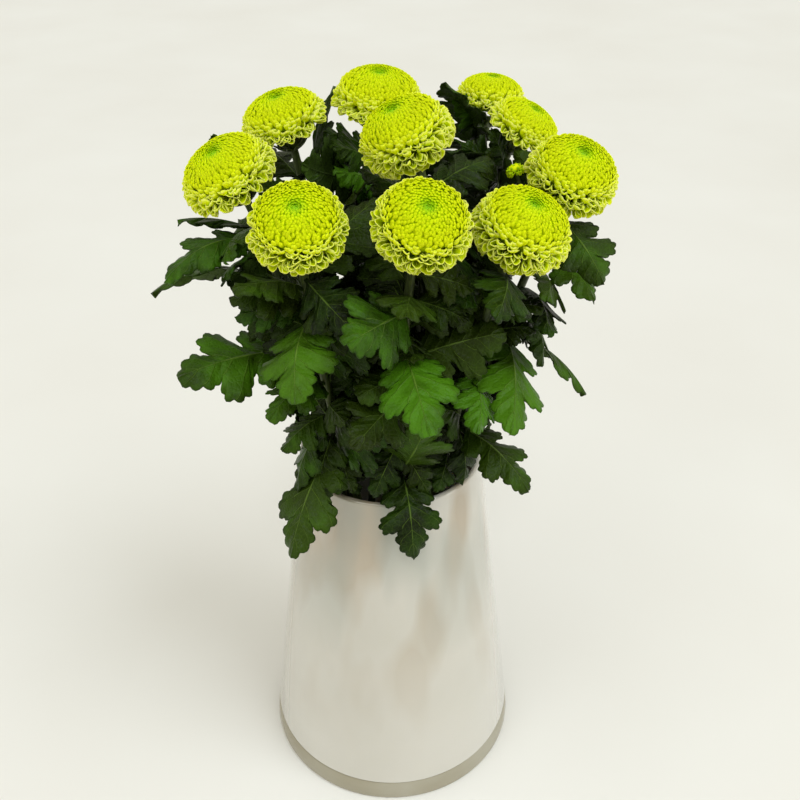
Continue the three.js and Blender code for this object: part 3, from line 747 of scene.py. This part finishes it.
# By the florets' angle from the bloom's top, in degrees: the room each has, how long the part that shows is
# against that, how far it curls in over the top by its end, how far its edges close to a tube, how wide it is
# against its room, how thick it is, and how far out the core reaches.
FLORET_ANGLES = (0, 12, 34, 48, 58, 72, 94, 126)
FLORET_ROOM = (1.6, 1.8, 2.0, 2.3, 3.0, 4.1, 4.5, 4.6)
FLORET_LENGTH = (1.5, 2.1, 2.5, 2.4, 2.0, 1.8, 1.7, 1.7)
FLORET_CURL = (20, 84, 100, 96, 72, 44, 24, 2)
FLORET_CLOSURE = (40, 42, 44, 52, 74, 98, 104, 106)
FLORET_WIDTH = (0.76, 0.78, 0.76, 0.72, 0.62, 0.56, 0.55, 0.55)
FLORET_SKIN = (0.15, 0.15, 0.15, 0.15, 0.2, 0.26, 0.27, 0.27)
CORE_SHARES = (0.95, 0.95, 0.94, 0.9, 0.8, 0.7, 0.62, 0.6)
CLOSED_UNTIL = 54
LOOSE_FROM = 0.95
LOOSE_OVER = 0.5
DIMPLE_DEPTH = 0.1
DIMPLE_SPREAD = 11
FLORET_ROWS = 5
CLOSED_COLUMNS = 3
OPEN_COLUMNS = 6
BUD_COLUMNS = 5
FLAT_LAST_ANGLE = 106
LEAST_SLOPE = 0.5
CORE_RINGS = 12
CORE_SIDES = 24
CORE_SPAN = (4, 150)
CORE_LOWEST = 0.01 - UNDERSIDE
# How lit the core is painted where the florets stand close; where they stand loose it is painted in shade.
CORE_PAINTED_LIGHT = 0.75


def smooth(x):
    x = np.clip(x, 0, 1)
    return x * x * (3 - 2 * x)


def by_angle(angles, values):
    return np.interp(np.degrees(angles), FLORET_ANGLES, values)


def loosened(angles):
    """How loosely the florets stand there: not at all on top, freely below."""
    return smooth((angles - LOOSE_FROM) / LOOSE_OVER)


def floret_angles(half_width, shape):
    """Angles from the top at which florets grow, so that each has the room of its size there."""
    angle = np.radians(np.linspace(0, last_angle(shape), 500))
    density = 2 * math.pi * half_width**2 * np.sin(angle) / by_angle(angle, FLORET_ROOM) ** 2
    total = np.concatenate([[0], np.cumsum((density[1:] + density[:-1]) / 2 * np.diff(angle))])
    return np.interp(np.arange(0.5, total[-1]), total, angle)


def dome_of(flower):
    return flower.get("rise", DOME_HEIGHT), flower.get("drop", DOME_DEPTH)


def last_angle(shape):
    """How far round from the top florets grow: less far on a bloom with a flat underside."""
    return np.interp(shape[1], (0.3, DOME_DEPTH), (FLAT_LAST_ANGLE, FLORET_ANGLES[-1]))


def dome(angle, share, shape):
    """Distance from the bloom's axis and height of a point on the dome, as shares of half its width."""
    height = np.cos(angle) * np.where(angle < math.pi / 2, *shape)
    dimple = 1 - DIMPLE_DEPTH * np.exp(-((np.degrees(angle) / DIMPLE_SPREAD) ** 2))
    return np.sin(angle) * share, height * share * dimple


def run_of(steps):
    """Running totals of each row's steps, from 0."""
    return np.concatenate([np.zeros((len(steps), 1)), np.cumsum(steps, axis=1)], axis=1)


def middle_lines(angles, length, curl, shape, u, rng):
    """The line down each floret's middle and the way the floret opens there, both as (outwards, upwards).

    A line starts out along the dome's normal and bends towards the top.
    """
    heading = np.radians(curl)[:, None] * smooth((u - 0.2) / 0.7)[None, :]
    between = (heading[:, 1:] + heading[:, :-1]) / 2
    out = run_of(np.cos(between) * np.diff(u))
    over = run_of(np.sin(between) * np.diff(u))
    flatness = np.where(angles < math.pi / 2, shape[0], max(shape[1], LEAST_SLOPE))
    normal = np.stack([np.sin(angles), np.cos(angles) / flatness])
    normal = (normal / np.linalg.norm(normal, axis=0))[:, :, None]
    inward = np.stack([-normal[1], normal[0]])
    count = len(angles)
    reach = 1 - 0.015 * rng.random(count) ** 2 - 0.14 * rng.random(count) ** 2 * loosened(angles)
    surface = np.stack(dome(angles, reach, shape))[:, :, None]
    line = surface + normal * (length * (out - out[:, -1:])) + inward * (length * over)
    return line, np.cos(heading) * inward - np.sin(heading) * normal


def gutters(line, towards, width, closure, twist, sway):
    """Points across the middle lines and the way out of the skin at each, as (outwards, aside, upwards).

    A gutter opens towards the top, or is a hood over it where the floret is curled in.
    """
    lift = width[:, :, None] * (1 - np.cos(closure))
    aside = width[:, :, None] * np.sin(closure) + twist * lift + sway[:, :, None]
    outwards, upwards = (part[:, :, None] for part in towards)
    points = (line[0][:, :, None] + outwards * lift, aside, line[1][:, :, None] + upwards * lift)
    away = (-outwards * np.cos(closure), np.sin(closure), -upwards * np.cos(closure))
    return points, away


def round_the_axis(parts, turns):
    """Points or directions as (outwards, aside, upwards), turned to each floret's place on the bloom."""
    outwards, aside, upwards = parts
    cos, sin = np.cos(turns)[:, None, None], np.sin(turns)[:, None, None]
    return np.stack([outwards * cos - aside * sin, outwards * sin + aside * cos, upwards], axis=-1)


def painted_floret_light(u, v):
    """Painted light and shade for each point of a floret's inner and outer skin: shade deep in the hollow by
    the root, most light at the rims.
    """
    rim = np.maximum(np.abs(v)[None, :] ** 3, smooth((u - 0.7) / 0.3)[:, None])
    inner = np.clip(0.12 + 0.3 * u[:, None] ** 2 + rim, 0, 1) * smooth(u * 1.9)[:, None]
    outer = np.maximum(np.clip(0.35 + 0.75 * u[:, None], 0, 0.84), rim**2)
    return np.stack([inner, outer])


def florets(angles, turns, half_width, shape, columns, rng):
    """Spoon-shaped florets as thick sheets: points, faces, and each point's painted light, angle and chance.
    """
    count = len(angles)
    loose = loosened(angles)
    u = np.linspace(0, 1, FLORET_ROWS) ** 0.8
    v = np.linspace(-1, 1, columns)
    room = by_angle(angles, FLORET_ROOM) * (1 + rng.uniform(-1, 1, count) * (0.06 + 0.22 * loose))
    length = (room * by_angle(angles, FLORET_LENGTH) / half_width)[:, None]
    curl = by_angle(angles, FLORET_CURL) + rng.normal(0, 1, count) * (6 * smooth(angles) + 10 * loose)
    line, towards = middle_lines(angles, length, curl, shape, u, rng)
    widest = (room * by_angle(angles, FLORET_WIDTH) / half_width)[:, None]
    width = widest * np.interp(u, (0, 0.5, 0.82, 1), (0.4, 0.9, 1, 0.5))
    closure = by_angle(angles, FLORET_CLOSURE) + rng.normal(0, 1, count) * (5 + 12 * loose)
    closure = np.radians(closure)[:, None, None] * v
    closure = closure * np.interp(u, (0, 0.6, 1), (1, 1, 0.8))[:, None]
    twist = (rng.normal(0, 1, count) * (0.1 * smooth(angles) + 0.3 * loose))[:, None, None]
    sway = (rng.normal(0, 0.12, count) * loose)[:, None] * u**2 * length
    points, away = gutters(line, towards, width, closure, twist, sway)
    inner = round_the_axis(points, turns) * half_width
    outer = inner + round_the_axis(away, turns) * by_angle(angles, FLORET_SKIN)[:, None, None, None]
    # painted light and shade, which the petal colour reads
    light = painted_floret_light(u, v)[None]
    crown = (np.degrees(angles) / FLORET_ANGLES[-1])[:, None, None, None]
    chance = rng.random(count)[:, None, None, None]
    growth_and_painted_light = np.stack(np.broadcast_arrays(light, crown, chance), axis=-1)
    points = np.stack([inner, outer], axis=1)
    stride = 2 * FLORET_ROWS * columns
    sheet = np.concatenate(thick_grid(FLORET_ROWS, columns))
    faces = repeated(sheet[:, ::-1], count, stride)
    return points.reshape(-1, 3), faces, growth_and_painted_light.reshape(-1, 3)


def head_of_florets(half_width, shape, rng):
    """All the florets of a bloom that stands up along +Z, on their core."""
    angles = floret_angles(half_width, shape)
    count = len(angles)
    loose = loosened(angles)
    turns = np.radians(np.arange(count) * GOLDEN_ANGLE) + rng.normal(0, 0.03, count) * (1 + 1.6 * loose)
    closed = np.degrees(angles) < CLOSED_UNTIL
    angles = angles + rng.normal(0, 0.012, count) * (1 + 4 * loose)
    angles = np.clip(angles, 0.01, math.radians(last_angle(shape)))
    sets = [
        florets(angles[these], turns[these], half_width, shape, columns, rng)
        for these, columns in ((closed, CLOSED_COLUMNS), (~closed, OPEN_COLUMNS))
    ]
    return join([*sets, bloom_core(half_width, shape)])


def build_bloom(number, flower, material, rng):
    points, faces, growth_and_painted_light = head_of_florets(flower["width"] / 2, dome_of(flower), rng)
    points = in_place(points, bloom_axis(flower), flower["at"])
    add_piece(
        f"florets_{number}", points, faces, [material], colour=growth_and_painted_light,
        cad=f"bloom_{number}", slot="petal_yellow_green")


def bloom_core(half_width, shape):
    """The middle that the florets stand on, with painted light and shade: lit under the close top florets,
    shaded between the loose lower ones.
    """
    angle = np.radians(np.linspace(*CORE_SPAN, CORE_RINGS))[:, None]
    turn = np.linspace(0, 2 * math.pi, CORE_SIDES, endpoint=False)[None, :]
    r, z = dome(angle, by_angle(angle, CORE_SHARES), shape)
    z = np.maximum(z, CORE_LOWEST)
    points = np.stack([r * np.cos(turn), r * np.sin(turn), z + 0 * turn], axis=-1).reshape(-1, 3) * half_width
    points = np.concatenate([points, [(0, 0, z.max() * half_width), (0, 0, z.min() * half_width)]])
    growth_and_painted_light = np.zeros((len(points), 3))
    turned = np.arccos(np.clip(points[:, 2] / np.linalg.norm(points, axis=1), -1, 1))
    # painted light on the core, fading to painted shade under the loose florets
    growth_and_painted_light[:, 0] = CORE_PAINTED_LIGHT * (1 - loosened(turned))
    growth_and_painted_light[:, 1] = np.degrees(turned) / FLORET_ANGLES[-1]
    return points, round_faces(CORE_RINGS, CORE_SIDES, flip=True), growth_and_painted_light


def in_place(points, axis, at):
    """Turns points that stand up along +Z so that they stand along axis, with no twist, and moves them."""
    turn = np.array(Vector(UP).rotation_difference(Vector(axis)).to_matrix())
    return points @ turn.T + np.array(at, float)


# The leafy stems.

# Half of a leaf's edge: root of the row on the midrib, place along, half width, how deep its teeth are.
LEAF_EDGE = np.array([
    (0, 0, 0.05, 0),
    (0.14, 0.14, 0.09, 0),
    (0.17, 0.195, 0.26, 0),
    (0.20, 0.24, 0.52, 0.5),
    (0.235, 0.285, 0.75, 1),
    (0.28, 0.345, 0.87, 1),
    (0.32, 0.41, 0.83, 1),
    (0.35, 0.445, 0.66, 0.8),
    (0.372, 0.437, 0.48, 0.2),
    (0.395, 0.43, 0.39, 0),
    (0.415, 0.455, 0.46, 0.2),
    (0.44, 0.50, 0.64, 0.8),
    (0.47, 0.54, 0.86, 1),
    (0.515, 0.60, 1.0, 1),
    (0.56, 0.675, 1.02, 1),
    (0.60, 0.74, 0.90, 1),
    (0.635, 0.755, 0.67, 0.8),
    (0.66, 0.73, 0.46, 0.2),
    (0.68, 0.715, 0.36, 0),
    (0.71, 0.75, 0.45, 0.5),
    (0.76, 0.805, 0.52, 1),
    (0.82, 0.875, 0.47, 1),
    (0.88, 0.935, 0.36, 1),
    (0.94, 0.985, 0.19, 0.8),
    (1, 1, 0, 0),
])
TOOTH_DEPTH = 0.03
TOOTH_MIDDLE = 0.55
LEAST_HALF_WIDTH = 0.004
OUTLINE_STEPS = 12
# The blade's edge waves and droops, and the midrib is a ridge below.
WAVES = 3.6
WAVE_HEIGHT = 1.6
DROOP = 2.6
RIDGE_HEIGHT = 0.45
RIDGE_WIDTH = 0.16
# How thick the leaf is along its length, against the solids' leaves: thickest at its stalk.
LEAF_TAPER = ((0, 0.18, 0.25, 1), (2.0, 1.7, 0.75, 0.6))
# Teeth, rows of points on each tooth, and where across the blade its points are.
LEAF_GRADES = {
    "fine": (15, 4, np.array([-1, -0.66, -0.3, 0, 0.3, 0.66, 1])),
    "plain": (13, 3, np.array([-1, -0.55, 0, 0.55, 1])),
}


def rounded(keys, steps):
    """A smooth line through the keys."""
    before = np.concatenate([2 * keys[:1] - keys[1:2], keys[:-1]])
    after = np.concatenate([keys[1:], 2 * keys[-1:] - keys[-2:-1]])
    slope = (after - before) / 2
    t = (np.arange(steps) / steps)[None, :, None]
    a, b, m, k = keys[:-1, None], keys[1:, None], slope[:-1, None], slope[1:, None]
    from_a, from_m = 2 * t**3 - 3 * t**2 + 1, t**3 - 2 * t**2 + t
    from_b, from_k = 3 * t**2 - 2 * t**3, t**3 - t**2
    line = from_a * a + from_m * m + from_b * b + from_k * k
    return np.concatenate([line.reshape(-1, keys.shape[1]), keys[-1:]])


def fine_outline(teeth, rows_per_tooth):
    """Half of a leaf's edge with lobes and scalloped teeth, as rows of (along, half width, forward)."""
    line = rounded(LEAF_EDGE, OUTLINE_STEPS)
    plane = np.stack([line[:, 1], line[:, 2] * LEAF_HALF_WIDTH], axis=1)
    run = np.concatenate([[0], np.cumsum(np.linalg.norm(np.diff(plane, axis=0), axis=1))])
    blade = run[np.searchsorted(line[:, 0], LEAF_EDGE[1, 0])]
    at = np.linspace(blade, run[-1], teeth * rows_per_tooth + 1)
    along, place, half, deep = (np.interp(at, run, column) for column in line.T)
    outward = np.stack([-np.gradient(half * LEAF_HALF_WIDTH, at), np.gradient(place, at)], axis=1)
    outward /= np.linalg.norm(outward, axis=1)[:, None]
    bump = np.abs(np.sin(math.pi * np.arange(len(at)) / rows_per_tooth)) - TOOTH_MIDDLE
    place = place + outward[:, 0] * bump * deep * TOOTH_DEPTH
    half = half + outward[:, 1] * bump * deep * TOOTH_DEPTH / LEAF_HALF_WIDTH
    rows = np.stack([along, np.maximum(half, LEAST_HALF_WIDTH), place - along], axis=1)
    return np.concatenate([[(0, LEAF_EDGE[0, 2], 0), (0.07, 0.07, 0)], rows])


def fine_leaf(leaf, outline, shares, rng):
    """One leaf's points, and where on the blade each is for the veins."""
    middle, up = leaf_surface(leaf, outline, shares)
    along = outline[:, 0]
    phase = rng.uniform(0, 2 * math.pi, 2)
    wave = np.sin(2 * math.pi * WAVES * along[:, None] + np.where(shares < 0, phase[0], phase[1])[None, :])
    edge = np.abs(shares)[None, :] ** 1.6 * smooth((along - 0.2) / 0.2)[:, None]
    lift = (WAVE_HEIGHT * wave - rng.uniform(0, DROOP)) * edge
    middle = middle + lift[:, :, None] * up[:, None, :]
    thickness = 0.5 * LEAF_THICKNESS * np.interp(along, *LEAF_TAPER)
    ridge = RIDGE_HEIGHT * np.exp(-((shares / RIDGE_WIDTH) ** 2))[None, :]
    ridge = ridge * np.interp(along, (0, 1), (1, 0.2))[:, None]
    upper = middle + thickness[:, None, None] * up[:, None, :]
    lower = middle - (thickness[:, None] + ridge)[:, :, None] * up[:, None, :]
    points = np.concatenate([upper.reshape(-1, 3), lower.reshape(-1, 3)])
    place = np.stack(np.broadcast_arrays(along[:, None], shares[None, :]), axis=-1).reshape(-1, 2)
    return points, np.concatenate([place, place])


def leaf_mesh(leaf, rng):
    """One leaf's points, faces, colours, places on the blade, and which faces are its underside."""
    teeth, rows_per_tooth, shares = LEAF_GRADES[leaf["grade"]]
    outline = fine_outline(teeth, rows_per_tooth)
    points, places = fine_leaf(leaf, outline, shares, rng)
    # the grid's upper skin faces down the blade's up direction unless its rows are turned over
    upper, lower, rim = thick_grid(len(outline), len(shares))
    faces = np.concatenate([upper, lower, rim])[:, ::-1]
    under = np.repeat([0, 1, 0], [len(upper), len(lower), len(rim)])
    tone_and_painted_light = np.clip(leaf["tone_and_painted_light"] + rng.normal(0, 0.12), 0, 1)
    colours = np.tile((tone_and_painted_light, rng.random(), rng.random()), (len(points), 1))
    return points, faces, colours, places, under


def build_leaves(number, leaves, materials, rng):
    points, faces, colours, places, under = join([leaf_mesh(leaf, rng) for leaf in leaves])
    add_piece(
        f"leaves_{number}", points, faces, materials, face_material=under,
        colour=colours, uv=places, cad=f"leafy_stem_{number}", slot="leaf_green")


def swept(curve_points, radii, sides, ridge=0.0):
    """A tube with ridges along a line of points."""
    tangent = np.gradient(curve_points, axis=0)
    tangent /= np.linalg.norm(tangent, axis=1)[:, None]
    across = np.cross(tangent, (0.0, 1.0, 0.0))
    across /= np.linalg.norm(across, axis=1)[:, None]
    other = np.cross(tangent, across)
    angle = np.linspace(0, 2 * math.pi, sides, endpoint=False)
    size = radii[:, None] * (1 + ridge * np.cos(6 * angle))[None, :]
    rings = curve_points[:, None, :] + size[:, :, None] * (
        np.cos(angle)[None, :, None] * across[:, None, :] + np.sin(angle)[None, :, None] * other[:, None, :])
    points = np.concatenate([rings.reshape(-1, 3), curve_points[:1], curve_points[-1:]])
    return points, round_faces(len(curve_points), sides)


def build_stem(number, flower, curve, material):
    t = np.linspace(0, 1, STEM_LINE_POINTS)
    line = on_cubic(curve, t)
    line = line[line[:, 2] > FLOOR + FIT_GAP + STEM_FLOOR_GAP]
    radii = STEM_SKIN_RADIUS * np.interp(np.linspace(0, 1, len(line)), *STEM_TAPER)
    parts = [swept(line, radii, STEM_SKIN_SIDES, STEM_RIDGES), calyx(flower, curve)]
    if number == BUD["stem"]:
        stalk = np.linspace(at_height(curve, BUD["height"]), BUD["at"], STALK_POINTS)
        parts.append(swept(stalk, np.full(STALK_POINTS, BUD["stalk"]), STALK_SIDES))
    points, faces = join(parts)
    add_piece(f"stem_{number}", points, faces, [material], cad=f"leafy_stem_{number}", slot="leaf_green")


def build_bud(material, rng):
    """The small green bud beside a bloom."""
    stem = stem_curve(FLOWERS[BUD["stem"] - 1])
    at = np.array(BUD["at"], float)
    outward = np.sqrt((np.arange(BUD["florets"]) + 1) / BUD["florets"])
    angles = np.minimum(BUD["spread"] * outward, BUD["last_angle"])
    angles = np.radians(np.concatenate([[BUD["first_angle"]], angles]))
    turns = np.radians(np.arange(len(angles)) * GOLDEN_ANGLE)
    size = BUD["floret_size"]
    points, faces, growth_and_painted_light = florets(angles, turns, BUD["radius"] / size, USUAL_DOME, BUD_COLUMNS, rng)
    growth_and_painted_light[:, 1] *= BUD["green"]
    points, faces, growth_and_painted_light = join([(points * size, faces, growth_and_painted_light), bloom_core(BUD["radius"], USUAL_DOME)])
    points = in_place(points, unit(at - at_height(stem, BUD["height"])), at)
    add_piece(
        "bud", points, faces, [material], colour=growth_and_painted_light,
        cad=f"leafy_stem_{BUD['stem']}", slot="petal_yellow_green")


def calyx(flower, curve):
    """The cup of small green bracts under a bloom."""
    radius = UNDERSIDE_RADIUS * flower["width"] / 2
    parts = []
    u, v = np.linspace(0, 1, 6), np.linspace(-1, 1, 3)
    bract_faces = np.concatenate(thick_grid(len(u), len(v)))
    aside = BRACT_HALF_WIDTH * np.interp(u, (0, 0.6, 1), (0.7, 1, 0.25))[:, None] * v
    for ring, (count, spread, top) in enumerate(CALYX_RINGS):
        out = (CALYX_ROOT + (radius * spread - CALYX_ROOT) * u**0.8)[:, None] - BRACT_CUP * v**2
        z = -CALYX_HEIGHT + (CALYX_HEIGHT + top) * u**1.3
        for turn in 2 * math.pi * (np.arange(count) + ring / 2) / count:
            cos, sin = math.cos(turn), math.sin(turn)
            skin = np.stack([
                out * cos - aside * sin, out * sin + aside * cos, z[:, None] + 0 * v], axis=-1).reshape(-1, 3)
            away = np.array([cos * BRACT_SKIN[0], sin * BRACT_SKIN[0], -BRACT_SKIN[1]])
            parts.append((np.concatenate([skin, skin + away]), bract_faces))
    points, faces = join(parts)
    return in_place(points, bloom_axis(flower), curve[3]), faces


# Light, floor and camera.
FLOOR_HALF_WIDTH = 4.0


def build_stage():
    floor = bpy.data.meshes.new("floor")
    half = FLOOR_HALF_WIDTH
    corners = [(-half, -half, 0), (half, -half, 0), (half, half, 0), (-half, half, 0)]
    floor.from_pydata(corners, [], [(0, 1, 2, 3)])
    n = Nodes("floor")
    colour = n.mix(n.spread(n.noise(3.0)), srgb(232, 230, 224), srgb(236, 235, 230))
    floor.materials.append(n.shade(Base_Color=colour, Roughness=0.6))
    piece = in_scene("floor", floor)


def area_light(name, at, towards, size, power, colour):
    data = bpy.data.lights.new(name, "AREA")
    data.shape = "RECTANGLE"
    data.size, data.size_y = size
    data.energy = power
    data.color = colour
    light = in_scene(name, data)
    light.location = at
    light.rotation_euler = (Vector(towards) - Vector(at)).to_track_quat("-Z", "Y").to_euler()


def sun(name, direction, strength, spread, colour):
    data = bpy.data.lights.new(name, "SUN")
    data.energy = strength
    data.angle = math.radians(spread)
    data.color = colour
    in_scene(name, data).rotation_euler = Vector(direction).to_track_quat("-Z", "Y").to_euler()


def build_light():
    sun("sun", (-0.62, 0.42, -1.2), 1.15, 32, (0.86, 0.93, 1.0))
    sun("sky", (0.55, 0.5, -1.3), 0.5, 60, (0.94, 0.97, 1.0))
    sun("ceiling", (0.0, 0.75, -1.0), 0.35, 9, (0.94, 0.97, 1.0))
    area_light("window", (0.9, -0.35, 0.55), (0, 0, 0.15), (0.3, 1.1), 1.0, (1.0, 0.99, 0.97))
    area_light("lamp", (-0.9, -0.9, 1.0), (0, 0, 0.2), (0.5, 0.9), 1.2, (1.0, 0.98, 0.95))
    world = bpy.data.worlds.new("room")
    bpy.context.scene.world = world
    world.use_nodes = True
    colour, strength = world.node_tree.nodes["Background"].inputs[:2]
    colour.default_value = (*srgb(244, 240, 224), 1)
    strength.default_value = 0.62


def build_camera():
    data = bpy.data.cameras.new("camera")
    data.lens = CAMERA["lens"]
    data.clip_start = 0.01
    camera = in_scene("camera", data)
    camera.location = Vector(CAMERA["at"]) * MM
    camera.rotation_euler = (math.radians(90 - CAMERA["down"]), 0, 0)
    bpy.context.scene.camera = camera


build_camera()
build_stage()
build_light()
build_vase()
rng = np.random.default_rng(SEED)
curves = [stem_curve(flower) for flower in FLOWERS]
leaves = grow_leaves(curves)
petal = petal_material()
stem_green = stem_material()
leaf_sides = [
    # Each side's greens run from the painted shade of leaves inside the bouquet to the lit green of leaves in
    # the light, then the veins' colour and roughness.
    leaf_material("leaf_top", (15, 26, 3), (36, 62, 5), (72, 122, 16), (124, 156, 62), 0.38),
    leaf_material("leaf_under", (30, 44, 14), (52, 74, 22), (80, 114, 30), (104, 128, 66), 0.6),
]
for index, (flower, curve) in enumerate(zip(FLOWERS, curves)):
    number = index + 1
    build_bloom(number, flower, petal, rng)
    build_leaves(number, [leaf for leaf in leaves if leaf["stem"] == number], leaf_sides, rng)
    build_stem(number, flower, curve, stem_green)
build_bud(petal, rng)

bpy.context.scene.view_settings.view_transform = "Standard"
